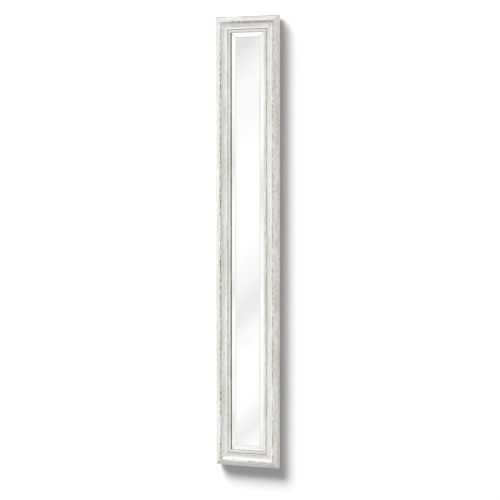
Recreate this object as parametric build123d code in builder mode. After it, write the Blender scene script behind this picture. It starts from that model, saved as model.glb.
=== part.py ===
from build123d import *
import os

# A tall, narrow wall mirror: four mitred lengths of painted moulding around a bevelled mirror,
# closed at the back with a board and a paper dust cover, and hung from two D-rings.
# X is the width, +Z is up and the mirror looks along -Y. The origin is the centre of the wall
# plane, which the four rubber bumpers touch. All sizes are in millimetres.

# Overall size
frame_width = 228.6
frame_height = 1524.0
bumper_thickness = 6.0
paper_thickness = 0.2

# Moulding section: inward is measured from the outer side, rise from the back of the frame
moulding_width = 53.4
quirk_rise = 12.0
quirk_depth = 0.9
quirk_half_width = 0.8
outer_edge_rise = 19.4
outer_edge_round = 1.2
outer_edge_lift = 0.3
outer_edge_bulge = 0.33
outer_band_bulge = 0.75
crest_inward = 17.2
crest_rise = 22.9
crest_width = 1.6
crest_bulge = 0.35
cove_start_drop = 0.8
cove_low_inward = 29.5
cove_low_rise = 14.8
inner_arris_inward = 41.2
inner_arris_rise = 17.0
arris_drop = 0.4
groove_inward = 43.5
groove_rise = 15.0
groove_half_width = 1.6
groove_shoulder_rise = 15.8
lip_top_inward = 48.8
lip_top_rise = 16.6
sight_edge_rise = 15.0
lip_back_rise = 11.8
rabbet_width = 6.35

# Mirror
glass_thickness = 5.0
glass_edge_thickness = 3.2
bevel_width = 19.05
glass_clearance = 3.2
silver_thickness = 0.1
sight_gap = 0.02

# Backing and its fixings
board_thickness = 3.2
board_clearance = 1.0
board_corner = 4.0
point_length = 14.0
point_width = 8.0
point_thickness = 0.6
point_embed = 6.0
point_pitch = 210.0
points_per_stile = 7
rail_point_x = 30.0
paper_margin = 3.0

# Spacers that centre the glass in the rabbet
spacer_depth = 3.0
side_spacer_length = 25.0
side_spacer_pitch = 480.0
block_length = 20.0
block_x = 36.0

# Mitre fasteners
nail_leg = 5.0
nail_thickness = 0.7
nail_height = 10.0
nail_inward = (12.0, 31.0)

# Strap hangers with D-rings
hanger_inward = 23.5
hanger_z = 508.0
strap_width = 12.7
strap_thickness = 1.2
strap_length = 31.0
strap_corner = 3.0
ring_wire = 2.6
ring_clearance = 0.08
ring_half_width = 9.6
ring_bend = 3.0
ring_side = 5.0

# Hanger screws: how far each is below the ring's eye, then the shank, the point and the pan head
screw_drops = (9.0, 24.5)
screw_radius = 1.6
screw_length = 12.0
screw_tip_length = 3.0
screw_tip_radius = 0.2
screw_head_radius = 3.4
screw_head_height = 1.9
screw_head_round = 1.05
recess_length = 3.6
recess_width = 0.8
recess_depth = 1.1

# Wall bumpers
bumper_radius = 6.35
bumper_taper = 0.7
bumper_round = 0.5
bumper_inset = 20.0

# Places worked out from the sizes above
half_width = frame_width / 2
half_height = frame_height / 2
paper_back_y = -bumper_thickness
frame_back_y = paper_back_y - paper_thickness
rabbet_inward = moulding_width - rabbet_width
rabbet_half_width = half_width - rabbet_inward
rabbet_half_height = half_height - rabbet_inward
glass_half_width = rabbet_half_width - glass_clearance
glass_half_height = rabbet_half_height - glass_clearance
glass_hidden = rabbet_width - glass_clearance
bevel_drop = glass_thickness - glass_edge_thickness
glass_rise_at_sight = glass_edge_thickness + bevel_drop * glass_hidden / bevel_width
silver_rise = lip_back_rise - sight_gap - glass_rise_at_sight
board_back_rise = silver_rise - silver_thickness - board_thickness
hanger_x = half_width - hanger_inward
strap_back_y = paper_back_y + strap_thickness
eye_inner = ring_wire / 2 + ring_clearance
eye_outer = eye_inner + strap_thickness
eye_y = paper_back_y + eye_outer
ring_top = ring_side + ring_half_width
bumper_x = half_width - bumper_inset
bumper_z = half_height - bumper_inset

# Which way each side, end and corner lies from the centre
sides = {"left": -1, "right": 1}
ends = {"top": 1, "bottom": -1}
corners = {
    f"{end_name}_{side_name}": (side, end)
    for end_name, end in ends.items()
    for side_name, side in sides.items()
}


def y_at(rise):
    """The Y place of a height above the back of the frame, which faces the wall."""
    return frame_back_y - rise


def front_plane(rise):
    """A plane across the whole mirror that looks to the front, with its own Y running up."""
    return Plane(origin=(0, y_at(rise), 0), x_dir=(1, 0, 0), z_dir=(0, -1, 0))


def wall_plane(x, y, z):
    """A plane at a place on the back that looks to the wall."""
    return Plane(origin=(x, y, z), x_dir=(1, 0, 0), z_dir=(0, 1, 0))


def export(item, label):
    """Labels a finished piece and writes it under the same name."""
    item.part.label = label
    export_step(item.part, f"parts/{label}.step")


def draw_moulding():
    """The moulding's section, drawn on a plane whose X runs inward and whose Y rises to the front."""
    side_top = (0, outer_edge_rise - outer_edge_round)
    edge_end = (outer_edge_round, outer_edge_rise + outer_edge_lift)
    crest = (crest_inward, crest_rise)
    cove_start = (crest_inward + crest_width, crest_rise - cove_start_drop)
    inner_arris = (inner_arris_inward, inner_arris_rise)
    groove_start = (groove_inward - groove_half_width, inner_arris_rise - arris_drop)
    groove_end = (groove_inward + groove_half_width, groove_shoulder_rise)
    sight_edge = (moulding_width, sight_edge_rise)
    with BuildSketch(mode=Mode.PRIVATE) as section:
        with BuildLine():
            Polyline(
                (0, 0),
                (0, quirk_rise - quirk_half_width),
                (quirk_depth, quirk_rise),
                (0, quirk_rise + quirk_half_width),
                side_top,
            )
            SagittaArc(side_top, edge_end, outer_edge_bulge)
            SagittaArc(edge_end, crest, outer_band_bulge)
            SagittaArc(crest, cove_start, crest_bulge)
            ThreePointArc(cove_start, (cove_low_inward, cove_low_rise), inner_arris)
            Line(inner_arris, groove_start)
            ThreePointArc(groove_start, (groove_inward, groove_rise), groove_end)
            ThreePointArc(groove_end, (lip_top_inward, lip_top_rise), sight_edge)
            Polyline(
                sight_edge,
                (moulding_width, lip_back_rise),
                (rabbet_inward, lip_back_rise),
                (rabbet_inward, 0),
                (0, 0),
            )
        make_face()
    return section.sketch


os.makedirs("parts", exist_ok=True)
moulding_section = draw_moulding()

# Mitre planes: each passes through one corner of the frame, and its normal points into the rail
mitres = {
    corner: Plane(origin=(side * half_width, 0, end * half_height), z_dir=(-side, 0, end))
    for corner, (side, end) in corners.items()
}

# V-nails: two bent steel plates at each corner, driven from the back across the mitre
leg_length = nail_leg + nail_thickness / 2
leg_middle = nail_leg - leg_length / 2
nails = {}
for corner, (side, end) in corners.items():
    with BuildPart() as corner_nails:
        with BuildSketch(front_plane(0)):
            for inward in nail_inward:
                x = side * (half_width - inward)
                z = end * (half_height - inward)
                with Locations((x - side * leg_middle, z)):
                    Rectangle(leg_length, nail_thickness)
                with Locations((x, z - end * leg_middle)):
                    Rectangle(nail_thickness, leg_length)
        extrude(amount=nail_height)
    nails[corner] = corner_nails
    export(corner_nails, f"v_nails_{corner}")

# Framer's points: flat steel tongues pressed into the rabbet wall behind the board
point_y = y_at(board_back_rise - point_thickness / 2)
point_past_rabbet = point_embed - point_length / 2
points_middle = (points_per_stile - 1) / 2
points = {}
for side_name, side in sides.items():
    point_x = side * (rabbet_half_width + point_past_rabbet)
    with BuildPart() as side_points:
        with Locations(
            *[(point_x, point_y, (i - points_middle) * point_pitch) for i in range(points_per_stile)]
        ):
            Box(point_length, point_thickness, point_width)
    points[side_name] = side_points
    export(side_points, f"framer_points_{side_name}")
for end_name, end in ends.items():
    point_z = end * (rabbet_half_height + point_past_rabbet)
    with BuildPart() as end_points:
        with Locations(*[(x, point_y, point_z) for x in (-rail_point_x, rail_point_x)]):
            Box(point_width, point_thickness, point_length)
    points[end_name] = end_points
    export(end_points, f"framer_points_{end_name}")

# Hanger screws: pan heads with a cross recess, two to each strap, seated on the strap's back
screws = {}
for side_name, side in sides.items():
    with BuildPart() as side_screws:
        for drop in screw_drops:
            seat = wall_plane(side * hanger_x, strap_back_y, hanger_z - drop)
            half_section = Plane(origin=seat.origin, x_dir=(1, 0, 0), z_dir=(0, 0, 1))
            with BuildSketch(half_section):
                with BuildLine():
                    Polyline(
                        (screw_head_radius - screw_head_round, screw_head_height),
                        (0, screw_head_height),
                        (0, -screw_length),
                        (screw_tip_radius, -screw_length),
                        (screw_radius, screw_tip_length - screw_length),
                        (screw_radius, 0),
                        (screw_head_radius, 0),
                        (screw_head_radius, screw_head_height - screw_head_round),
                    )
                    RadiusArc(
                        (screw_head_radius, screw_head_height - screw_head_round),
                        (screw_head_radius - screw_head_round, screw_head_height),
                        -screw_head_round,
                    )
                make_face()
            revolve(axis=Axis(seat.origin, seat.z_dir))
            with BuildSketch(seat.offset(screw_head_height)):
                Rectangle(recess_length, recess_width)
                Rectangle(recess_width, recess_length)
            extrude(amount=-recess_depth, mode=Mode.SUBTRACT)
    screws[side_name] = side_screws
    export(side_screws, f"hanger_screws_{side_name}")

# Stiles: the section runs the whole height, is mitred at both ends and cut for the steel in it
for side_name, side in sides.items():
    section_plane = Plane(
        origin=(side * half_width, frame_back_y, -half_height),
        x_dir=(-side, 0, 0),
        z_dir=(0, 0, side),
    )
    with BuildPart() as stile:
        with BuildSketch(section_plane):
            add(moulding_section)
        extrude(amount=side * frame_height)
        for end_name in ends:
            split(bisect_by=mitres[f"{end_name}_{side_name}"], keep=Keep.BOTTOM)
            add(nails[f"{end_name}_{side_name}"].part, mode=Mode.SUBTRACT)
        add(points[side_name].part, mode=Mode.SUBTRACT)
        add(screws[side_name].part, mode=Mode.SUBTRACT)
    export(stile, f"{side_name}_stile")

# Rails: the short lengths at the top and the bottom
for end_name, end in ends.items():
    section_plane = Plane(
        origin=(-half_width, frame_back_y, end * half_height),
        x_dir=(0, 0, -end),
        z_dir=(-end, 0, 0),
    )
    with BuildPart() as rail:
        with BuildSketch(section_plane):
            add(moulding_section)
        extrude(amount=-end * frame_width)
        for side_name in sides:
            split(bisect_by=mitres[f"{end_name}_{side_name}"], keep=Keep.TOP)
            add(nails[f"{end_name}_{side_name}"].part, mode=Mode.SUBTRACT)
        add(points[end_name].part, mode=Mode.SUBTRACT)
    export(rail, f"{end_name}_rail")

# Mirror plate: float glass, ground to a wide shallow bevel on all four sides
with BuildPart() as mirror_glass:
    with BuildSketch(front_plane(silver_rise)):
        Rectangle(2 * glass_half_width, 2 * glass_half_height)
    extrude(amount=glass_edge_thickness)
    with BuildSketch(front_plane(silver_rise + glass_edge_thickness)):
        Rectangle(2 * glass_half_width, 2 * glass_half_height)
    with BuildSketch(front_plane(silver_rise + glass_thickness)):
        Rectangle(2 * (glass_half_width - bevel_width), 2 * (glass_half_height - bevel_width))
    loft(ruled=True)
export(mirror_glass, "mirror_glass")

# Silvering: the reflecting film on the back of the glass with its grey protective paint
with BuildPart() as silvering:
    with BuildSketch(front_plane(silver_rise)):
        Rectangle(2 * glass_half_width, 2 * glass_half_height)
    extrude(amount=-silver_thickness)
export(silvering, "silvering")

# Spacers: cork blocks that carry and centre the glass in the rabbet, as thick as its clearance
spacer_y = y_at(silver_rise + spacer_depth / 2)
spacer_x = glass_half_width + glass_clearance / 2
spacer_z = glass_half_height + glass_clearance / 2
for name, end in (("top_spacers", 1), ("setting_blocks", -1)):
    with BuildPart() as end_spacers:
        with Locations(*[(x, spacer_y, end * spacer_z) for x in (-block_x, block_x)]):
            Box(block_length, spacer_depth, glass_clearance)
    export(end_spacers, name)
for side_name, side in sides.items():
    with BuildPart() as side_spacers:
        with Locations(
            *[(side * spacer_x, spacer_y, z) for z in (-side_spacer_pitch, 0, side_spacer_pitch)]
        ):
            Box(glass_clearance, spacer_depth, side_spacer_length)
    export(side_spacers, f"side_spacers_{side_name}")

# Backing board: hardboard behind the mirror, with eased corners so that it drops in
with BuildPart() as backing_board:
    with BuildSketch(front_plane(board_back_rise)):
        RectangleRounded(
            2 * (rabbet_half_width - board_clearance),
            2 * (rabbet_half_height - board_clearance),
            board_corner,
        )
    extrude(amount=board_thickness)
export(backing_board, "backing_board")

# Dust cover: paper glued to the back of the frame, pierced by the hanger screws
with BuildPart() as dust_cover:
    with BuildSketch(wall_plane(0, frame_back_y, 0)):
        Rectangle(2 * (half_width - paper_margin), 2 * (half_height - paper_margin))
    extrude(amount=paper_thickness)
    for side_screws in screws.values():
        add(side_screws.part, mode=Mode.SUBTRACT)
export(dust_cover, "dust_cover")

# Strap hangers: a steel strap rolled into an eye around the straight side of the D-ring
for side_name, side in sides.items():
    strap_side = Plane(
        origin=(side * hanger_x - strap_width / 2, eye_y, hanger_z),
        x_dir=(0, 1, 0),
        z_dir=(1, 0, 0),
    )
    with BuildPart() as strap:
        with BuildSketch(strap_side):
            Circle(eye_outer)
            with Locations((-eye_outer, 0)):
                Rectangle(strap_thickness, strap_length, align=(Align.MIN, Align.MAX))
            Circle(eye_inner, mode=Mode.SUBTRACT)
        extrude(amount=strap_width)
        foot_corners = strap.edges().filter_by(Axis.Y).group_by(Axis.Z)[0]
        fillet(foot_corners, strap_corner)
        add(screws[side_name].part, mode=Mode.SUBTRACT)
    export(strap, f"strap_hanger_{side_name}")

# D-rings: each is one bent wire whose straight side turns in the strap's eye
for side_name, side in sides.items():
    ring_plane = Plane(
        origin=(side * hanger_x, eye_y, hanger_z), x_dir=(1, 0, 0), z_dir=(0, -1, 0)
    )
    with BuildPart() as ring:
        with BuildLine(ring_plane) as loop:
            FilletPolyline(
                (-ring_half_width, ring_side),
                (-ring_half_width, 0),
                (ring_half_width, 0),
                (ring_half_width, ring_side),
                radius=ring_bend,
            )
            ThreePointArc((ring_half_width, ring_side), (0, ring_top), (-ring_half_width, ring_side))
        with BuildSketch(Plane(origin=loop.line @ 0, z_dir=loop.line % 0)):
            Circle(ring_wire / 2)
        sweep(path=loop.wires()[0])
    export(ring, f"d_ring_{side_name}")

# Wall bumpers: soft rubber feet that keep the back off the wall
for corner, (side, end) in corners.items():
    foot = wall_plane(side * bumper_x, paper_back_y, end * bumper_z)
    with BuildPart() as bumper:
        with BuildSketch(foot):
            Circle(bumper_radius)
        with BuildSketch(foot.offset(bumper_thickness)):
            Circle(bumper_radius - bumper_taper)
        loft()
        fillet(bumper.edges().group_by(Axis.Y)[-1], bumper_round)
    export(bumper, f"bumper_{corner}")

print(f"sight opening {frame_width - 2 * moulding_width:.1f} x {frame_height - 2 * moulding_width:.1f}")
print(f"glass {2 * glass_half_width:.1f} x {2 * glass_half_height:.1f}")
print(f"silver rise {silver_rise:.2f}, board back rise {board_back_rise:.2f}")
print(f"ring eye y {eye_y:.2f}, ring top {hanger_z + ring_top:.1f}")
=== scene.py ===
import math

import bpy
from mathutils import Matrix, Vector


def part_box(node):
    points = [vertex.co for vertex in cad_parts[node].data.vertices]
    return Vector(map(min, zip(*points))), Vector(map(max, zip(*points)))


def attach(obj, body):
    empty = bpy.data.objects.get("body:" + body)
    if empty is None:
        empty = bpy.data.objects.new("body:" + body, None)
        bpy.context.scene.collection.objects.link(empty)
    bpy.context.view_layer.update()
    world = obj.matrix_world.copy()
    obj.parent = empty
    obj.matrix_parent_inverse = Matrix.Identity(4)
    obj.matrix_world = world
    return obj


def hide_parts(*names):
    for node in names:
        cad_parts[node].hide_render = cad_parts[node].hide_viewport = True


# The tall, narrow wall mirror: a distressed off-white wood moulding round a bevelled mirror, seen from its
# right. +X is the width, +Z is up and the mirror faces -Y. Lengths are in metres unless a name ends in mm.

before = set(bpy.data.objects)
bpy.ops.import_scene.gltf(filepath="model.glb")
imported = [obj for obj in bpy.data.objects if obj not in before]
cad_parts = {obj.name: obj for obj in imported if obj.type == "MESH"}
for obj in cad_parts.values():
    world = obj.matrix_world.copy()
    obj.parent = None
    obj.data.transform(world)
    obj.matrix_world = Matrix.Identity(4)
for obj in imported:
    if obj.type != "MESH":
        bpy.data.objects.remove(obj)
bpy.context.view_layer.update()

MM = 0.001

# Places read from the frame
stile_low, stile_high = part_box("left_stile")
glass_low, glass_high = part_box("mirror_glass")
silver_low, silver_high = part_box("silvering")
paper_low, paper_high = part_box("dust_cover")
half_width = -stile_low.x
half_height = stile_high.z
back_y = stile_high.y
half_width_mm = half_width / MM
half_height_mm = half_height / MM
back_mm = back_y / MM

# The moulding's section, in mm: how far inward from the outer side, and how high above the back
moulding_width_mm = (stile_high.x - stile_low.x) / MM
quirk_rise, quirk_depth, quirk_half_width = 12.0, 0.9, 0.8
outer_edge_rise, outer_edge_round, outer_edge_lift, outer_edge_bulge = 19.4, 1.2, 0.3, 0.33
outer_band_bulge = 0.75
crest_inward, crest_rise, crest_width, crest_bulge = 17.2, 22.9, 1.6, 0.35
cove_start_drop, cove_low_inward, cove_low_rise = 0.8, 29.5, 14.8
arris_inward, arris_rise, arris_drop = 41.2, 17.0, 0.4
groove_inward, groove_rise, groove_half_width, groove_shoulder_rise = 43.5, 15.0, 1.6, 15.8
lip_top_inward, lip_top_rise, sight_edge_rise, lip_back_rise = 48.8, 16.6, 15.0, 11.8
rabbet_width = 6.35
rabbet_inward = moulding_width_mm - rabbet_width
side_low_rises, side_middle_rise, lip_middle_rise, back_middle_inward = (0, 4, 8), 15.5, 13.4, 24

# What each length has been through and how it faces the light: which side it is on, then how dark its outer
# edge, band and cove are made, then how much more or less than usual it was sanded. The darkening is glaze
# and,
# length by length, painted shade: more on the bands of the right stile and the bottom rail, which face away
# from the upper left key, more on the top rail's cove, which faces down, than on the bottom rail's, and a
# dark line along the top rail's outer edge
stile_glaze_shade_and_sanding = {
    "left_stile": (-1, 0.12, 0.0, 0.14, -0.03),
    "right_stile": (1, 0.18, 0.30, 0.20, 0.08),
}
rail_glaze_shade_and_sanding = {
    "top_rail": (1, 0.90, 0.14, 0.22, -0.01),
    "bottom_rail": (-1, 0.18, 0.50, 0.03, -0.10),
}
sanding_waves = ((38, 0.28), (9, 0.30))
moulding_slice = 6 * MM
moulding_smooth_angle = math.radians(28)

# The mirror plate
bevel_width = 19.05 * MM
bevel_drop = 1.8 * MM
edge_thickness = 3.2 * MM
arris_width = 0.5 * MM
silver_overlap = 0.02 * MM

# The paper over the back
glued_margin_mm = 12
cockle_size, cockle_depth = 70 * MM, 0.7 * MM
paper_smooth_angle = math.radians(30)

# Camera: turned to the mirror's right side, a little above its middle
camera_azimuth, camera_elevation = 23.8, 2.63
camera_distance, camera_lens = 5.64, 120.0
camera_target = Vector((0.010, -0.020, -0.025))

# The stage: a wall at the mirror's back and a floor under it
stage_size, floor_drop = 5.0, 0.24
stage_glow = 0.04

# The world's light: what mirrors see, what the camera sees and what fills the rest
mirrored_strength, seen_strength, fill_strength = 1.07, 1.0, 0.34

# The studio as mirrors see it: soft grey cards that slant across a white room, by height less sideways lean
card_slant = 0.91
card_low, card_high = -1.0, 1.0
studio_cards = (
    (-1.00, 0.80), (-0.70, 0.97), (-0.52, 0.80), (-0.36, 0.97), (0.10, 0.93), (0.130, 0.82), (0.147, 1.0),
    (0.157, 0.94), (0.170, 1.0), (0.198, 1.0), (0.210, 0.835), (0.229, 0.98), (0.254, 1.0), (0.270, 0.95),
    (0.287, 0.81), (0.306, 0.92), (0.328, 0.98), (0.371, 1.0), (0.405, 0.945), (0.423, 0.945), (0.434, 0.86),
    (0.448, 0.75), (0.475, 1.0), (0.50, 1.0), (0.515, 0.95), (0.53, 0.88), (0.62, 0.95), (0.80, 1.0),
    (1.00, 0.85),
)

# Behind the wall plane, where only the back's metal looks: a dark floor, a pale wall and a grey soffit, by
# height
back_cards = (
    (-1.0, 0.16), (-0.30, 0.24), (-0.18, 0.90), (0.20, 0.96), (0.30, 0.42), (0.55, 0.38), (0.68, 1.0),
)


def linear(hex_colour):
    """An sRGB hex colour as linear red, green, blue and alpha."""
    parts = [int(hex_colour[i:i + 2], 16) / 255 for i in (1, 3, 5)]
    return (*[c / 12.92 if c <= 0.04045 else ((c + 0.055) / 1.055) ** 2.4 for c in parts], 1.0)


def add_node(tree, kind, inputs=None, **settings):
    """Adds a node, sets its own settings, then sets or links its inputs."""
    made = tree.nodes.new("ShaderNode" + kind)
    for name, value in settings.items():
        setattr(made, name, value)
    for name, value in (inputs or {}).items():
        if isinstance(value, bpy.types.NodeSocket):
            tree.links.new(value, made.inputs[name])
        else:
            made.inputs[name].default_value = value
    return made


def new_material(name):
    """An empty node material and its tree, ready for nodes."""
    material = bpy.data.materials.new(name)
    material.use_nodes = True
    material.node_tree.nodes.clear()
    return material, material.node_tree


def close_material(tree, shader):
    """Joins the last shader to the material's surface."""
    add_node(tree, "OutputMaterial", {"Surface": shader})


def set_stops(ramp_node, stops):
    """Gives a colour ramp its stops: a place from 0 to 1 and a grey or a colour."""
    ramp = ramp_node.color_ramp
    while len(ramp.elements) > 1:
        ramp.elements.remove(ramp.elements[-1])
    for i, (place, value) in enumerate(stops):
        stop = ramp.elements[0] if i == 0 else ramp.elements.new(place)
        stop.position = place
        stop.color = value if isinstance(value, tuple) else (value, value, value, 1.0)


def section_places(tree, place, along):
    """How far inward, how high above the back and how far from the length's end a point is, in mm."""
    axes = add_node(tree, "SeparateXYZ", {"Vector": place}).outputs
    if along == "Z":
        across, other, half_mm, other_half_mm = axes["X"], axes["Z"], half_width_mm, half_height_mm
    else:
        across, other, half_mm, other_half_mm = axes["Z"], axes["X"], half_height_mm, half_width_mm
    across_size = add_node(tree, "Math", {0: across}, operation="ABSOLUTE").outputs[0]
    inward = add_node(
        tree, "Math", {0: across_size, 1: -1 / MM, 2: half_mm}, operation="MULTIPLY_ADD"
    ).outputs[0]
    rise = add_node(tree, "Math", {0: axes["Y"], 1: -1 / MM, 2: back_mm}, operation="MULTIPLY_ADD").outputs[0]
    other_size = add_node(tree, "Math", {0: other}, operation="ABSOLUTE").outputs[0]
    from_end = add_node(
        tree, "Math", {0: other_size, 1: -1 / MM, 2: other_half_mm}, operation="MULTIPLY_ADD"
    ).outputs[0]
    return inward, rise, from_end


def streak_maker(tree, place, along):
    """A function that makes streaks: noise drawn out along the grain, with its spots of a given real size."""
    def streaks(across_mm, along_mm, detail, roughness=0.5, offset=0.0):
        fine, long = 1 / (across_mm * MM), 1 / (along_mm * MM)
        scale = (fine, fine, long) if along == "Z" else (long, fine, fine)
        mapped = add_node(
            tree, "Mapping", {"Vector": place, "Scale": scale, "Location": (offset, offset, offset)}
        ).outputs[0]
        return add_node(
            tree, "TexNoise", {"Vector": mapped, "Scale": 1.0, "Detail": detail, "Roughness": roughness}
        ).outputs[0]

    return streaks


def painted_coats(tree, streaks):
    """The paint's colour: coats uneven from 160 mm down, with streaks 90 mm and flecks 13 mm long."""
    coat = add_node(
        tree, "MapRange",
        {"Value": streaks(8, 160, 5, 0.66), "From Min": 0.40, "From Max": 0.66, "To Max": 0.9},
        interpolation_type="SMOOTHSTEP",
    ).outputs[0]
    paint = add_node(
        tree, "Mix", {0: coat, 6: linear("#FDFDFA"), 7: linear("#E3E2DC")}, data_type="RGBA"
    ).outputs[2]
    brushed = add_node(
        tree, "MapRange",
        {"Value": streaks(2.4, 90, 4, 0.6, 3.1), "From Min": 0.50, "From Max": 0.70, "To Max": 0.50},
        interpolation_type="SMOOTHSTEP",
    ).outputs[0]
    paint = add_node(tree, "Mix", {0: brushed, 6: paint, 7: linear("#C8C3B8")}, data_type="RGBA").outputs[2]
    flecks = add_node(
        tree, "MapRange",
        {"Value": streaks(1.7, 13, 3, 0.6, 7.7), "From Min": 0.53, "From Max": 0.68, "To Max": 0.50},
        interpolation_type="SMOOTHSTEP",
    ).outputs[0]
    paint = add_node(tree, "Mix", {0: flecks, 6: paint, 7: linear("#A9A398")}, data_type="RGBA").outputs[2]
    return paint, brushed, flecks


def amount_by_section(tree, inward, rise, across_stops, up_stops):
    """An amount by the place across the moulding and, on its outer side, by the height above the back."""
    inward_share = add_node(
        tree, "Math", {0: inward, 1: moulding_width_mm}, operation="DIVIDE", use_clamp=True
    ).outputs[0]
    rise_share = add_node(
        tree, "Math", {0: rise, 1: crest_rise}, operation="DIVIDE", use_clamp=True
    ).outputs[0]
    across = add_node(tree, "ValToRGB", {"Fac": inward_share})
    set_stops(across, [(mm / moulding_width_mm, amount) for mm, amount in across_stops])
    up = add_node(tree, "ValToRGB", {"Fac": rise_share})
    set_stops(up, [(mm / crest_rise, amount) for mm, amount in up_stops])
    outer_side = add_node(
        tree, "MapRange", {"Value": inward, "From Min": 1.3, "From Max": 0.3}, interpolation_type="SMOOTHSTEP"
    ).outputs[0]
    on_side = add_node(tree, "Math", {0: up.outputs[0], 1: outer_side}, operation="MULTIPLY").outputs[0]
    return add_node(tree, "Math", {0: across.outputs[0], 1: on_side}, operation="MAXIMUM").outputs[0]


def glaze_and_painted_shade(tree, streaks, inward, rise, edge_darkening, band_glaze_and_shade, cove_glaze_and_shade):
    """Glaze: wiped off the high places and left in the groove and the side's quirk. Along the glass it is
    full, as painted shade on the sight edge, and each length's edge, band and cove amounts are partly painted
    shade.
    """
    glaze_and_shade_place = amount_by_section(tree, inward, rise, (
        (0.0, 0.18), (0.4, edge_darkening), (1.9, edge_darkening),
        (2.8, band_glaze_and_shade), (15.2, band_glaze_and_shade),
        (16.4, 0.14), (18.9, 0.16),
        (20.5, cove_glaze_and_shade), (25.0, cove_glaze_and_shade / 2), (33.0, 0.08), (40.8, 0.02),
        (42.3, 0.20), (43.0, 1.0), (44.1, 1.0), (45.2, 0.12),
        # Full glaze on the sight edge: painted shade where the lip meets the glass
        (49.0, 0.06), (52.7, 0.12), (53.3, 1.0),
    ), (
        (0.0, 0.03), (quirk_rise - 1.4, 0.03),
        (quirk_rise - 0.6, 0.80), (quirk_rise + 0.6, 0.80),
        (quirk_rise + 1.4, 0.06), (15.0, 0.02),
    ))
    patches = add_node(
        tree, "Math", {0: streaks(3.5, 34, 3, 0.6, 11.3), 1: 4.2, 2: -1.15}, operation="MULTIPLY_ADD",
        use_clamp=True,
    ).outputs[0]
    return add_node(tree, "Math", {0: glaze_and_shade_place, 1: patches}, operation="MULTIPLY").outputs[0]


def rubbed_bare(tree, streaks, inward, rise, sanding):
    """Rubbing: how easily sandpaper reaches each place, then beads 10 mm long, in runs of some 85 mm."""
    reach = amount_by_section(tree, inward, rise, (
        (0.0, 0.65), (1.4, 0.55),
        (2.8, 0.10), (14.0, 0.15),
        (15.6, 0.85), (16.8, 1.0), (19.8, 1.0), (20.6, 0.70),
        (21.4, 0.10), (40.6, 0.10),
        (41.8, 0.60), (42.6, 0.89), (44.6, 0.89),
        (45.8, 0.10), (52.4, 0.10), (53.2, 0.70),
    ), (
        (0.0, 0.05), (quirk_rise - 1.6, 0.05),
        (quirk_rise - 0.8, 0.80), (quirk_rise + 0.8, 0.80),
        (quirk_rise + 1.6, 0.05), (17.6, 0.10), (19.0, 0.65),
    ))
    runs = add_node(
        tree, "Math", {0: streaks(5, 85, 2, 0.5, 43.1), 1: 1.1, 2: reach}, operation="MULTIPLY_ADD"
    ).outputs[0]
    pressed = add_node(
        tree, "Math", {0: streaks(2.0, 10, 3, 0.55, 19.9), 1: 2.4, 2: runs}, operation="MULTIPLY_ADD"
    ).outputs[0]
    first_bare = 2.74 - sanding
    rubbed = add_node(
        tree, "MapRange",
        {"Value": pressed, "From Min": first_bare, "From Max": first_bare + 0.16, "To Max": 0.92},
        interpolation_type="SMOOTHSTEP",
    ).outputs[0]
    dings = add_node(
        tree, "MapRange",
        {"Value": streaks(1.8, 5.0, 1, 0.5, 31.7), "From Min": 0.755, "From Max": 0.80, "To Max": 0.8},
        interpolation_type="SMOOTHSTEP",
    ).outputs[0]
    return add_node(tree, "Math", {0: rubbed, 1: dings}, operation="MAXIMUM").outputs[0]


def mitre_crack(tree, inward, from_end):
    """A hairline where the paint has cracked along the mitre."""
    past_mitre = add_node(tree, "Math", {0: from_end, 1: inward}, operation="SUBTRACT").outputs[0]
    off_mitre = add_node(tree, "Math", {0: past_mitre}, operation="ABSOLUTE").outputs[0]
    return add_node(
        tree, "MapRange", {"Value": off_mitre, "From Min": 0.9, "From Max": 0.25, "To Max": 0.45},
        interpolation_type="SMOOTHSTEP",
    ).outputs[0]


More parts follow.
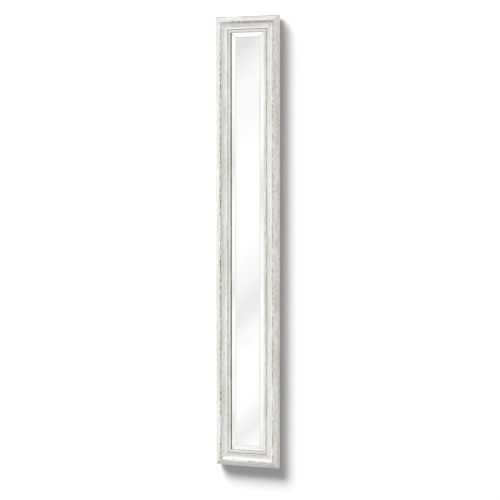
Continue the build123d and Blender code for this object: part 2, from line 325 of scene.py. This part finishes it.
# Distressed paint: two coats of off-white milk paint on a brown-stained wood, glazed grey in the hollows and
# sanded back to the stain along the crest, the groove and the outer edges. Satin, with brushed streaks. The
# same
# grey glaze is also painted shade: full on the sight edge, where the lip meets the glass, and more or less on
# each length's edge, band and cove by how that length faces the light.
def distressed_paint_and_shade(name, along, edge_darkening, band_glaze_and_shade, cove_glaze_and_shade, sanding):
    """The paint of a stile (along Z) or a rail (along X), by what its length has been through and by the
    painted shade given to its side.
    """
    material, tree = new_material(name)
    place = add_node(tree, "TexCoord").outputs["Object"]
    inward, rise, from_end = section_places(tree, place, along)
    streaks = streak_maker(tree, place, along)
    paint, brushed, flecks = painted_coats(tree, streaks)
    glaze_and_shade = glaze_and_painted_shade(tree, streaks, inward, rise, edge_darkening, band_glaze_and_shade, cove_glaze_and_shade)
    # The glaze colour: real glaze in the hollows, and painted shade on the sight edge and on the bands and
    # coves set per length
    paint = add_node(tree, "Mix", {0: glaze_and_shade, 6: paint, 7: linear("#8E8473")}, data_type="RGBA").outputs[2]
    bare = rubbed_bare(tree, streaks, inward, rise, sanding)
    stained = add_node(
        tree, "Mix", {0: streaks(1.2, 16, 2, 0.6, 23.0), 6: linear("#7F5B49"), 7: linear("#C2A08C")},
        data_type="RGBA",
    ).outputs[2]
    colour = add_node(tree, "Mix", {0: bare, 6: paint, 7: stained}, data_type="RGBA").outputs[2]
    crack = mitre_crack(tree, inward, from_end)
    colour = add_node(tree, "Mix", {0: crack, 6: colour, 7: linear("#7C7266")}, data_type="RGBA").outputs[2]

    # Relief: streaks and flecks stand a little, and a rubbed place lies lower than the paint round it
    relief = add_node(tree, "Math", {0: bare, 1: -0.7, 2: flecks}, operation="MULTIPLY_ADD").outputs[0]
    relief = add_node(tree, "Math", {0: brushed, 1: 0.5, 2: relief}, operation="MULTIPLY_ADD").outputs[0]
    normal = add_node(
        tree, "Bump", {"Height": relief, "Strength": 0.35, "Distance": 0.25 * MM}
    ).outputs[0]
    roughness = add_node(
        tree, "MapRange", {"Value": bare, "To Min": 0.48, "To Max": 0.74}
    ).outputs[0]
    shader = add_node(
        tree, "BsdfPrincipled",
        {"Base Color": colour, "Roughness": roughness, "Normal": normal, "IOR": 1.48},
    ).outputs[0]
    close_material(tree, shader)
    return material


# Raw pine: planed and left bare on the back and in the rabbet. Straight grain, dull and a little fuzzy.
def raw_pine(name, along):
    """The bare wood of a stile (along Z) or of a rail (along X)."""
    material, tree = new_material(name)
    place = add_node(tree, "TexCoord").outputs["Object"]
    ring, length = 1 / (3.2 * MM), 1 / (180 * MM)
    scale = (ring, ring, length) if along == "Z" else (length, ring, ring)
    mapped = add_node(tree, "Mapping", {"Vector": place, "Scale": scale}).outputs[0]
    grain = add_node(
        tree, "TexNoise", {"Vector": mapped, "Scale": 1.0, "Detail": 4.0, "Roughness": 0.6, "Distortion": 0.4}
    ).outputs[0]
    tone = add_node(tree, "ValToRGB", {"Fac": grain})
    set_stops(tone, [(0.30, linear("#B5A084")), (0.50, linear("#CDBDA3")), (0.72, linear("#DCCFB9"))])
    normal = add_node(tree, "Bump", {"Height": grain, "Strength": 0.3, "Distance": 0.2 * MM}).outputs[0]
    shader = add_node(
        tree, "BsdfPrincipled", {"Base Color": tone.outputs[0], "Roughness": 0.78, "Normal": normal}
    ).outputs[0]
    close_material(tree, shader)
    return material


# Float glass: clear, polished, with the faint green of its iron.
def float_glass():
    material, tree = new_material("polished_float_glass")
    shader = add_node(
        tree, "BsdfPrincipled",
        {"Base Color": linear("#FEFFFE"), "Roughness": 0.0, "IOR": 1.52, "Transmission Weight": 1.0},
    ).outputs[0]
    close_material(tree, shader)
    return material


# Ground arris: the narrow edge of the bevel, left a little hazy by the wheel. Its dark grey is painted shade,
# so that the bevel's crease reads as a dark line.
def ground_arris_and_shade():
    material, tree = new_material("ground_glass_arris_and_shade")
    place = add_node(tree, "TexCoord").outputs["Object"]
    haze = add_node(tree, "TexNoise", {"Vector": place, "Scale": 1 / (1.1 * MM), "Detail": 2.0}).outputs[0]
    tone = add_node(tree, "ValToRGB", {"Fac": haze})
    # Painted shade: dark greys that make the crease read as a dark line
    set_stops(tone, [(0.3, linear("#8A8F8D")), (0.7, linear("#A6ABA9"))])
    shader = add_node(
        tree, "BsdfPrincipled",
        {"Base Color": tone.outputs[0], "Roughness": 0.35, "IOR": 1.52, "Transmission Weight": 0.35},
    ).outputs[0]
    close_material(tree, shader)
    return material


# Silver: a wet-deposited film, which makes a bright, neutral mirror.
def silver_film():
    material, tree = new_material("silver_film")
    place = add_node(tree, "TexCoord").outputs["Object"]
    cloud = add_node(tree, "TexNoise", {"Vector": place, "Scale": 1 / (70 * MM), "Detail": 2.0}).outputs[0]
    tone = add_node(tree, "ValToRGB", {"Fac": cloud})
    set_stops(tone, [(0.2, linear("#F8F8F8")), (0.8, linear("#FBFBFB"))])
    shader = add_node(
        tree, "BsdfPrincipled", {"Base Color": tone.outputs[0], "Metallic": 1.0, "Roughness": 0.0}
    ).outputs[0]
    close_material(tree, shader)
    return material


# Mirror backing paint: a grey alkyd coat curtained over the silver. Even, with a slight orange peel.
def backing_paint():
    material, tree = new_material("grey_backing_paint")
    place = add_node(tree, "TexCoord").outputs["Object"]
    peel = add_node(tree, "TexNoise", {"Vector": place, "Scale": 1 / (2.5 * MM), "Detail": 2.0}).outputs[0]
    tone = add_node(tree, "ValToRGB", {"Fac": peel})
    set_stops(tone, [(0.3, linear("#6F7274")), (0.7, linear("#7C7F81"))])
    normal = add_node(tree, "Bump", {"Height": peel, "Strength": 0.1, "Distance": 0.1 * MM}).outputs[0]
    shader = add_node(
        tree, "BsdfPrincipled", {"Base Color": tone.outputs[0], "Roughness": 0.5, "Normal": normal}
    ).outputs[0]
    close_material(tree, shader)
    return material


# Kraft paper: unbleached and machine-made. Dull, with short fibres along the roll and a faint cloudiness.
def kraft_paper():
    material, tree = new_material("kraft_paper")
    place = add_node(tree, "TexCoord").outputs["Object"]
    fibres = add_node(
        tree, "Mapping", {"Vector": place, "Scale": (1 / (0.45 * MM), 1 / (0.45 * MM), 1 / (1.5 * MM))}
    ).outputs[0]
    fibre = add_node(
        tree, "TexNoise", {"Vector": fibres, "Scale": 1.0, "Detail": 3.0, "Roughness": 0.65}
    ).outputs[0]
    cloud = add_node(tree, "TexNoise", {"Vector": place, "Scale": 1 / (60 * MM), "Detail": 2.0}).outputs[0]
    mixed = add_node(tree, "Mix", {0: 0.2, 2: fibre, 3: cloud}).outputs[0]
    tone = add_node(tree, "ValToRGB", {"Fac": mixed})
    set_stops(tone, [(0.34, linear("#B0967A")), (0.50, linear("#BCA283")), (0.66, linear("#C7AF90"))])
    normal = add_node(tree, "Bump", {"Height": fibre, "Strength": 0.15, "Distance": 0.05 * MM}).outputs[0]
    shader = add_node(
        tree, "BsdfPrincipled", {"Base Color": tone.outputs[0], "Roughness": 0.82, "Normal": normal}
    ).outputs[0]
    close_material(tree, shader)
    return material


# Speckled, dull sheet goods: hardboard, cork and moulded rubber, each by its two tones and its grain size.
def speckled(name, dark, light, grain_mm, roughness):
    material, tree = new_material(name)
    place = add_node(tree, "TexCoord").outputs["Object"]
    grain = add_node(
        tree, "TexNoise", {"Vector": place, "Scale": 1 / (grain_mm * MM), "Detail": 3.0, "Roughness": 0.6}
    ).outputs[0]
    tone = add_node(tree, "ValToRGB", {"Fac": grain})
    set_stops(tone, [(0.35, linear(dark)), (0.65, linear(light))])
    normal = add_node(tree, "Bump", {"Height": grain, "Strength": 0.2, "Distance": 0.1 * MM}).outputs[0]
    shader = add_node(
        tree, "BsdfPrincipled", {"Base Color": tone.outputs[0], "Roughness": roughness, "Normal": normal}
    ).outputs[0]
    close_material(tree, shader)
    return material


# Plated steel: zinc or nickel on stamped, drawn or rolled steel, with handling marks in its shine.
def plated_steel(name, dark, light, low_roughness, high_roughness, mark_mm):
    material, tree = new_material(name)
    place = add_node(tree, "TexCoord").outputs["Object"]
    marks = add_node(
        tree, "TexNoise", {"Vector": place, "Scale": 1 / (mark_mm * MM), "Detail": 3.0, "Roughness": 0.6}
    ).outputs[0]
    tone = add_node(tree, "ValToRGB", {"Fac": marks})
    set_stops(tone, [(0.3, linear(dark)), (0.7, linear(light))])
    roughness = add_node(
        tree, "MapRange", {"Value": marks, "To Min": low_roughness, "To Max": high_roughness}
    ).outputs[0]
    shader = add_node(
        tree, "BsdfPrincipled", {"Base Color": tone.outputs[0], "Metallic": 1.0, "Roughness": roughness}
    ).outputs[0]
    close_material(tree, shader)
    return material


def arc_points(start, middle, end, count):
    """Points from start to end on the circle through middle, without the start."""
    (ax, ay), (bx, by), (cx, cy) = start, middle, end
    d = 2 * (ax * (by - cy) + bx * (cy - ay) + cx * (ay - by))
    a2, b2, c2 = ax * ax + ay * ay, bx * bx + by * by, cx * cx + cy * cy
    ox = (a2 * (by - cy) + b2 * (cy - ay) + c2 * (ay - by)) / d
    oy = (a2 * (cx - bx) + b2 * (ax - cx) + c2 * (bx - ax)) / d
    radius = math.hypot(ax - ox, ay - oy)
    first, mid, last = (math.atan2(y - oy, x - ox) for x, y in (start, middle, end))
    turn = (last - first) % math.tau
    if (mid - first) % math.tau > turn:
        turn -= math.tau
    angles = [first + turn * i / count for i in range(1, count + 1)]
    return [(ox + radius * math.cos(a), oy + radius * math.sin(a)) for a in angles]


def bulged(start, end, bulge, count):
    """An arc from start to end that stands out by bulge, away from the wood."""
    (ax, ay), (bx, by) = start, end
    length = math.hypot(bx - ax, by - ay)
    middle = (
        (ax + bx) / 2 - (by - ay) / length * bulge,
        (ay + by) / 2 + (bx - ax) / length * bulge,
    )
    return arc_points(start, middle, end, count)


def moulding_section():
    """The outline of the moulding, from the back's outer corner round the front to the rabbet."""
    side_top = (0, outer_edge_rise - outer_edge_round)
    edge_end = (outer_edge_round, outer_edge_rise + outer_edge_lift)
    crest = (crest_inward, crest_rise)
    cove_start = (crest_inward + crest_width, crest_rise - cove_start_drop)
    inner_arris = (arris_inward, arris_rise)
    groove_start = (groove_inward - groove_half_width, arris_rise - arris_drop)
    groove_end = (groove_inward + groove_half_width, groove_shoulder_rise)
    sight_edge = (moulding_width_mm, sight_edge_rise)
    points = [
        *((0, low_rise) for low_rise in side_low_rises),
        (0, quirk_rise - quirk_half_width),
        (quirk_depth, quirk_rise),
        (0, quirk_rise + quirk_half_width),
        (0, side_middle_rise),
        side_top,
    ]
    points += bulged(side_top, edge_end, outer_edge_bulge, 4)
    points += bulged(edge_end, crest, outer_band_bulge, 10)
    points += bulged(crest, cove_start, crest_bulge, 4)
    points += arc_points(cove_start, (cove_low_inward, cove_low_rise), inner_arris, 18)
    points += [groove_start]
    points += arc_points(groove_start, (groove_inward, groove_rise), groove_end, 6)
    points += arc_points(groove_end, (lip_top_inward, lip_top_rise), sight_edge, 8)
    points += [
        (moulding_width_mm, lip_middle_rise),
        (moulding_width_mm, lip_back_rise),
        (rabbet_inward, lip_back_rise),
        (rabbet_inward, 0),
        (back_middle_inward, 0),
    ]
    return points


def select_only(piece):
    """Makes one object the selected and active one."""
    bpy.ops.object.select_all(action="DESELECT")
    piece.select_set(True)
    bpy.context.view_layer.objects.active = piece


def draw_outline(points):
    """Draws a closed face in edit mode by extruding one vertex from point to point."""
    bpy.ops.object.select_all(action="DESELECT")
    bpy.ops.mesh.primitive_plane_add(size=MM, location=(0, 0, 0))
    piece = bpy.context.object
    bpy.ops.object.mode_set(mode="EDIT")
    bpy.ops.mesh.merge(type="CENTER")
    bpy.ops.transform.translate(value=points[0])
    for before, after in zip(points, points[1:]):
        bpy.ops.mesh.extrude_region_move(TRANSFORM_OT_translate={"value": after - before})
    bpy.ops.mesh.select_all(action="SELECT")
    bpy.ops.mesh.edge_face_add()
    bpy.ops.object.mode_set(mode="OBJECT")
    return piece


def cut_mitre(corner, outward):
    """Cuts the mesh in edit mode at a mitre and closes the cut."""
    bpy.ops.mesh.select_all(action="SELECT")
    bpy.ops.mesh.bisect(plane_co=corner, plane_no=outward, use_fill=True, clear_outer=True)


def long_edges_selected(piece, axis):
    """Selects the edges that run along one axis."""
    bpy.ops.mesh.select_all(action="DESELECT")
    bpy.ops.mesh.select_mode(type="EDGE")
    bpy.ops.object.mode_set(mode="OBJECT")
    mesh = piece.data
    for edge in mesh.edges:
        a, b = (mesh.vertices[i].co for i in edge.vertices)
        edge.select = abs((b - a)[axis]) > 0.9 * (b - a).length
    bpy.ops.object.mode_set(mode="EDIT")


def make_moulding(name, side_sign, end_sign, paint, bare):
    """A length of moulding: a stile where side_sign is set, or a rail where end_sign is set."""
    is_stile = side_sign != 0
    axis = 2 if is_stile else 0
    half_length = half_height if is_stile else half_width
    places = []
    for inward_mm, rise_mm in moulding_section():
        y = back_y - rise_mm * MM
        if is_stile:
            places.append(Vector((side_sign * (half_width - inward_mm * MM), y, -half_length)))
        else:
            places.append(Vector((-half_length, y, end_sign * (half_height - inward_mm * MM))))
    piece = draw_outline(places)
    piece.name = name
    piece.data.name = name
    select_only(piece)
    bpy.ops.object.mode_set(mode="EDIT")
    bpy.ops.mesh.select_all(action="SELECT")
    run = Vector((0, 0, 0))
    run[axis] = 2 * half_length
    bpy.ops.mesh.extrude_region_move(TRANSFORM_OT_translate={"value": run})
    long_edges_selected(piece, axis)
    bpy.ops.mesh.subdivide(number_cuts=round(2 * half_length / moulding_slice))
    bpy.ops.mesh.select_mode(type="VERT")
    for end in (-1, 1):
        if is_stile:
            cut_mitre((side_sign * half_width, 0, end * half_height), (-side_sign, 0, end))
        else:
            cut_mitre((end * half_width, 0, end_sign * half_height), (end, 0, -end_sign))
    bpy.ops.mesh.select_all(action="SELECT")
    bpy.ops.mesh.remove_doubles(threshold=0.01 * MM)
    bpy.ops.mesh.normals_make_consistent(inside=False)
    bpy.ops.object.mode_set(mode="OBJECT")
    piece.data.materials.append(paint)
    piece.data.materials.append(bare)
    for face in piece.data.polygons:
        n = face.normal
        inner = half_width - abs(face.center.x) if is_stile else half_height - abs(face.center.z)
        low = back_y - face.center.y < (lip_back_rise + 0.1) * MM
        rabbet = low and inner > (rabbet_inward - 0.5) * MM
        mitre_cut = abs(n[axis]) > 0.6
        face.material_index = 1 if n.y > 0.9 or rabbet or mitre_cut else 0
    wear_moulding(piece, is_stile)
    select_only(piece)
    bpy.ops.object.shade_smooth_by_angle(angle=moulding_smooth_angle)
    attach(piece, "frame")
    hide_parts(name)
    return piece


def wear_moulding(piece, is_stile):
    """Hand sanding: the crest, the edges and the bead lose up to a few tenths of a millimetre, unevenly."""
    group = piece.vertex_groups.new(name="worn")
    for vertex in piece.data.vertices:
        inward = (half_width - abs(vertex.co.x) if is_stile else half_height - abs(vertex.co.z)) / MM
        rise = (back_y - vertex.co.y) / MM
        near_crest = max(0.0, 1 - abs(inward - crest_inward - crest_width / 2) / 2.2) if rise > 20 else 0.0
        near_edge = 0.8 if rise > 18 and inward < 2 else 0.0
        near_arris = max(0.0, 1 - abs(inward - arris_inward) / 1.6) * 0.8 if rise > 16 else 0.0
        on_front = 0.12 if rise > 13 else 0.0
        group.add([vertex.index], max(near_crest, near_edge, near_arris, on_front), "REPLACE")
    for size_mm, depth_mm in sanding_waves:
        texture = bpy.data.textures.new(f"sanding_{size_mm}", "CLOUDS")
        texture.noise_scale = size_mm * MM
        select_only(piece)
        wear = piece.modifiers.new("wear", "DISPLACE")
        wear.texture = texture
        wear.texture_coords = "LOCAL"
        wear.vertex_group = "worn"
        wear.mid_level = 1.0
        wear.strength = depth_mm * MM
        bpy.ops.object.modifier_apply(modifier="wear")


def add_block(name, low, high):
    """A block between two corners, left in edit mode with nothing selected."""
    bpy.ops.object.select_all(action="DESELECT")
    bpy.ops.mesh.primitive_cube_add(size=1.0, location=(0, 0, 0))
    piece = bpy.context.object
    piece.name = name
    piece.data.name = name
    bpy.ops.object.mode_set(mode="EDIT")
    bpy.ops.transform.resize(value=high - low)
    bpy.ops.transform.translate(value=(low + high) / 2)
    bpy.ops.mesh.select_all(action="DESELECT")
    return piece


def select_faces(piece, wanted):
    """In edit mode, selects only the faces that a test wants."""
    bpy.ops.mesh.select_all(action="DESELECT")
    bpy.ops.mesh.select_mode(type="FACE")
    bpy.ops.object.mode_set(mode="OBJECT")
    for face in piece.data.polygons:
        face.select = wanted(face)
    bpy.ops.object.mode_set(mode="EDIT")


def make_mirror_plate(clear, hazy_and_shaded):
    """The glass: a plate whose front is drawn in and forward to leave the bevel, with its arrises eased."""
    low = glass_low.copy()
    high = glass_high.copy()
    low.y = glass_high.y - edge_thickness
    piece = add_block("mirror_glass_plate", low, high)
    select_faces(piece, lambda face: face.normal.y < -0.9)
    bpy.ops.mesh.inset(thickness=bevel_width)
    bpy.ops.transform.translate(value=(0, -bevel_drop, 0))
    bpy.ops.object.mode_set(mode="OBJECT")
    piece.data.materials.append(clear)
    piece.data.materials.append(hazy_and_shaded)
    bpy.ops.object.mode_set(mode="EDIT")
    bpy.ops.mesh.select_all(action="DESELECT")
    bpy.ops.mesh.select_mode(type="EDGE")
    bpy.ops.object.mode_set(mode="OBJECT")
    mesh = piece.data
    front = glass_high.y - edge_thickness - bevel_drop / 2
    for edge in mesh.edges:
        a, b = (mesh.vertices[i].co for i in edge.vertices)
        edge.select = min(a.y, b.y) < front
    bpy.ops.object.mode_set(mode="EDIT")
    # The crease and the bevel's corner lines take the arris finish, whose dark grey is painted shade
    bpy.ops.mesh.bevel(offset=arris_width / 2, segments=1, material=1)
    bpy.ops.object.mode_set(mode="OBJECT")
    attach(piece, "frame")
    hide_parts("mirror_glass")
    return piece


def make_silvering(silver, grey):
    """The silver film with its paint, let into the back of the glass by a hair so that no air shows."""
    low = silver_low.copy()
    low.y -= silver_overlap
    piece = add_block("silvering_film", low, silver_high)
    bpy.ops.object.mode_set(mode="OBJECT")
    piece.data.materials.append(grey)
    piece.data.materials.append(silver)
    for face in piece.data.polygons:
        face.material_index = 1 if face.normal.y < -0.9 else 0
    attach(piece, "frame")
    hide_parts("silvering")
    return piece


def make_dust_cover(paper):
    """The paper: glued down round its rim, drawn slightly in over the hollow, a little cockled."""
    bpy.ops.object.select_all(action="DESELECT")
    bpy.ops.mesh.primitive_plane_add(size=1.0, location=(0, 0, 0))
    piece = bpy.context.object
    piece.name = "paper_dust_cover"
    piece.data.name = piece.name
    bpy.ops.object.mode_set(mode="EDIT")
    bpy.ops.mesh.subdivide(number_cuts=7)
    bpy.ops.mesh.subdivide(number_cuts=5)
    width, height = paper_high.x - paper_low.x, paper_high.z - paper_low.z
    bpy.ops.transform.resize(value=(width, height, 1))
    bpy.ops.transform.rotate(value=math.radians(-90), orient_axis="X", center_override=(0, 0, 0))
    bpy.ops.transform.translate(value=(0, paper_high.y, 0))
    bpy.ops.object.mode_set(mode="OBJECT")
    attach(piece, "frame")
    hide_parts("dust_cover")
    piece.data.materials.append(paper)
    group = piece.vertex_groups.new(name="over_hollow")
    rim_x = half_width - rabbet_inward * MM
    rim_z = half_height - rabbet_inward * MM
    for vertex in piece.data.vertices:
        inside = min(rim_x - abs(vertex.co.x), rim_z - abs(vertex.co.z)) / MM
        group.add([vertex.index], min(1.0, max(0.0, inside / glued_margin_mm)), "REPLACE")
    texture = bpy.data.textures.new("cockle", "CLOUDS")
    texture.noise_scale = cockle_size
    select_only(piece)
    cockle = piece.modifiers.new("cockle", "DISPLACE")
    cockle.texture = texture
    cockle.texture_coords = "LOCAL"
    cockle.vertex_group = "over_hollow"
    cockle.direction = "Y"
    cockle.mid_level = 1.0
    cockle.strength = cockle_depth
    bpy.ops.object.modifier_apply(modifier="cockle")
    thick = piece.modifiers.new("thick", "SOLIDIFY")
    thick.thickness = paper_high.y - paper_low.y
    thick.offset = -1.0
    bpy.ops.object.modifier_apply(modifier="thick")
    bpy.ops.object.shade_smooth_by_angle(angle=paper_smooth_angle)
    return piece


def dress_nodes(names, material):
    """Gives carried-over CAD nodes their finish."""
    for name in names:
        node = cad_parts[name]
        node.data.materials.clear()
        node.data.materials.append(material)


# Stage plaster: flat white. Mirrors, glass and lamps see through it, and so does the camera from behind.
# Bounced light passes it over a given width, so that the floor lights nothing and the mirror's back is lit
# evenly.
def stage_plaster(name, open_half_width):
    material, tree = new_material(name)
    paths = add_node(tree, "LightPath").outputs
    lit = add_node(tree, "BsdfDiffuse", {"Color": linear("#E1E1E1")}).outputs[0]
    glow = add_node(tree, "Emission", {"Strength": stage_glow}).outputs[0]
    surface = add_node(tree, "AddShader", {0: lit, 1: glow}).outputs[0]
    clear = add_node(tree, "BsdfTransparent").outputs[0]
    place = add_node(tree, "TexCoord").outputs["Object"]
    axes = add_node(tree, "SeparateXYZ", {"Vector": place}).outputs
    aside = add_node(tree, "Math", {0: axes["X"]}, operation="ABSOLUTE").outputs[0]
    covered = add_node(tree, "Math", {0: aside, 1: open_half_width}, operation="LESS_THAN").outputs[0]
    bounced = add_node(
        tree, "Math", {0: covered, 1: paths["Is Diffuse Ray"]}, operation="MULTIPLY"
    ).outputs[0]
    hidden = add_node(tree, "NewGeometry").outputs["Backfacing"]
    for path in (bounced, paths["Is Shadow Ray"], paths["Is Glossy Ray"], paths["Is Transmission Ray"]):
        hidden = add_node(tree, "Math", {0: hidden, 1: path}, operation="MAXIMUM").outputs[0]
    close_material(tree, add_node(tree, "MixShader", {0: hidden, 1: surface, 2: clear}).outputs[0])
    return material


def make_stage():
    """A white wall behind the mirror and a pale floor under it."""
    bpy.ops.object.select_all(action="DESELECT")
    bpy.ops.mesh.primitive_plane_add(size=stage_size, location=(0, 0, 0), rotation=(math.radians(90), 0, 0))
    wall = bpy.context.object
    wall.name = "stage_wall"
    wall.data.materials.append(stage_plaster("wall_plaster", half_width))
    bpy.ops.mesh.primitive_plane_add(size=stage_size, location=(0, 0, -half_height - floor_drop))
    floor = bpy.context.object
    floor.name = "stage_floor"
    floor.data.materials.append(stage_plaster("floor_plaster", stage_size))
    return wall, floor


def make_world():
    """White to the camera; to mirrors, a white studio with soft slanting greys; to the rest, an even fill."""
    world = bpy.data.worlds.new("studio")
    bpy.context.scene.world = world
    world.use_nodes = True
    tree = world.node_tree
    tree.nodes.clear()
    paths = add_node(tree, "LightPath").outputs
    direction = add_node(tree, "TexCoord").outputs["Generated"]
    axes = add_node(tree, "SeparateXYZ", {"Vector": direction}).outputs
    slant = add_node(
        tree, "Math", {0: axes["X"], 1: -card_slant, 2: axes["Z"]}, operation="MULTIPLY_ADD"
    ).outputs[0]
    level = add_node(
        tree, "MapRange", {"Value": slant, "From Min": card_low, "From Max": card_high}
    ).outputs[0]
    greys = add_node(tree, "ValToRGB", {"Fac": level})
    greys.color_ramp.interpolation = "EASE"
    set_stops(greys, [((place - card_low) / (card_high - card_low), grey) for place, grey in studio_cards])
    height = add_node(tree, "MapRange", {"Value": axes["Z"], "From Min": -1.0}).outputs[0]
    behind = add_node(tree, "ValToRGB", {"Fac": height})
    set_stops(behind, [((place + 1) / 2, grey) for place, grey in back_cards])
    from_back = add_node(tree, "MapRange", {"Value": axes["Y"], "From Min": 0.1, "From Max": 0.3}).outputs[0]
    greys = add_node(
        tree, "Mix", {0: from_back, 6: greys.outputs[0], 7: behind.outputs[0]}, data_type="RGBA"
    ).outputs[2]
    mirrored = add_node(tree, "Background", {"Color": greys, "Strength": mirrored_strength}).outputs[0]
    seen = add_node(tree, "Background", {"Color": (1, 1, 1, 1), "Strength": seen_strength}).outputs[0]
    fill = add_node(tree, "Background", {"Color": linear("#FDFEFF"), "Strength": fill_strength}).outputs[0]
    glossy = add_node(
        tree, "Math", {0: paths["Is Glossy Ray"], 1: paths["Is Transmission Ray"]}, operation="MAXIMUM"
    ).outputs[0]
    glossy = add_node(tree, "Math", {0: glossy, 1: paths["Diffuse Depth"]}, operation="SUBTRACT").outputs[0]
    glossy = add_node(tree, "Math", {0: glossy, 1: 0.0}, operation="MAXIMUM").outputs[0]
    shown = add_node(tree, "MixShader", {0: glossy, 1: fill, 2: mirrored}).outputs[0]
    shown = add_node(tree, "MixShader", {0: paths["Is Camera Ray"], 1: shown, 2: seen}).outputs[0]
    add_node(tree, "OutputWorld", {"Surface": shown})


def add_sun(name, towards, strength, spread_deg):
    """A soft, even light from one direction, as from a large box far off."""
    bpy.ops.object.select_all(action="DESELECT")
    bpy.ops.object.light_add(type="SUN", location=towards)
    lamp = bpy.context.object
    lamp.name = name
    lamp.rotation_euler = Vector(towards).to_track_quat("Z", "Y").to_euler()
    lamp.data.energy = strength
    lamp.data.angle = math.radians(spread_deg)
    lamp.visible_glossy = False
    lamp.visible_transmission = False
    return lamp


def link_light(lamp, stage, state):
    """Lets a lamp light only the stage, or all but the stage."""
    receivers = bpy.data.collections.new(f"{lamp.name}_receivers")
    for surface in stage:
        receivers.objects.link(surface)
    for member in receivers.collection_objects:
        member.light_linking.link_state = state
    lamp.light_linking.receiver_collection = receivers


def add_camera():
    """The photograph's view: from the mirror's right, a little above its middle, through a long lens."""
    a, e = math.radians(camera_azimuth), math.radians(camera_elevation)
    back = Vector((math.sin(a) * math.cos(e), -math.cos(a) * math.cos(e), math.sin(e)))
    bpy.ops.object.select_all(action="DESELECT")
    bpy.ops.object.camera_add(location=camera_target + back * camera_distance)
    camera = bpy.context.object
    camera.rotation_euler = back.to_track_quat("Z", "Y").to_euler()
    camera.data.lens = camera_lens
    camera.data.sensor_width = 36.0
    camera.data.clip_end = 50.0
    bpy.context.scene.camera = camera


stile_pine = raw_pine("raw_pine_stile", "Z")
rail_pine = raw_pine("raw_pine_rail", "X")
# Each length gets its own copy of the paint, with its own painted shade for the side it faces
for name, (side, *glaze_shade_and_sanding) in stile_glaze_shade_and_sanding.items():
    make_moulding(name, side, 0, distressed_paint_and_shade(f"distressed_paint_{name}", "Z", *glaze_shade_and_sanding), stile_pine)
for name, (end, *glaze_shade_and_sanding) in rail_glaze_shade_and_sanding.items():
    make_moulding(name, 0, end, distressed_paint_and_shade(f"distressed_paint_{name}", "X", *glaze_shade_and_sanding), rail_pine)

make_mirror_plate(float_glass(), ground_arris_and_shade())
make_silvering(silver_film(), backing_paint())
make_dust_cover(kraft_paper())

cad_nodes = sorted(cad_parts)
dress_nodes(["backing_board"], speckled("hardboard", "#4A3020", "#6B4A33", 1.2, 0.6))
dress_nodes(
    [n for n in cad_nodes if "spacers" in n or "blocks" in n],
    speckled("cork", "#7D5430", "#C0905C", 1.5, 0.8),
)
dress_nodes(
    [n for n in cad_nodes if n.startswith("bumper")],
    speckled("moulded_rubber", "#1D1D1D", "#2C2C2B", 0.8, 0.7),
)
dress_nodes(
    [n for n in cad_nodes if n.startswith(("v_nails", "framer_points"))],
    plated_steel("blued_steel", "#6F7276", "#96999D", 0.3, 0.5, 2.5),
)
dress_nodes(
    [n for n in cad_nodes if n.startswith(("strap_hanger", "hanger_screws"))],
    plated_steel("zinc_plated_steel", "#A5A8AA", "#B7BABB", 0.20, 0.32, 5.0),
)
dress_nodes(
    [n for n in cad_nodes if n.startswith("d_ring")],
    plated_steel("nickel_plated_wire", "#B4B2AC", "#C6C4BD", 0.10, 0.17, 4.0),
)

wall, floor = make_stage()
make_world()

# Lamps: a key from the upper left and weaker fills on the mirror, then three keys side by side that light the
# stage alone, so that the shadow on the wall ends softly
key = add_sun("key_upper_left", (-1.10, -1.00, 1.45), 2.3, 54)
front_fill = add_sun("front_fill", (0.20, -1.00, 0.0), 0.6, 80)
side_fill = add_sun("side_fill", (1.0, -0.35, 0.0), 0.52, 60)
back_fill = add_sun("back_fill", (0.60, 1.00, 0.80), 0.85, 60)
wall_keys = [
    add_sun(f"wall_key_{number}", (-sideways, -1.00, upward), 3.1, 21)
    for number, (sideways, upward) in enumerate(((0.90, 2.60), (1.45, 2.25), (2.00, 1.90)))
]
for lamp in (key, front_fill, side_fill, back_fill):
    link_light(lamp, (wall, floor), "EXCLUDE")
for lamp in wall_keys:
    link_light(lamp, (wall, floor), "INCLUDE")
add_camera()

bpy.context.scene.view_settings.view_transform = "Standard"
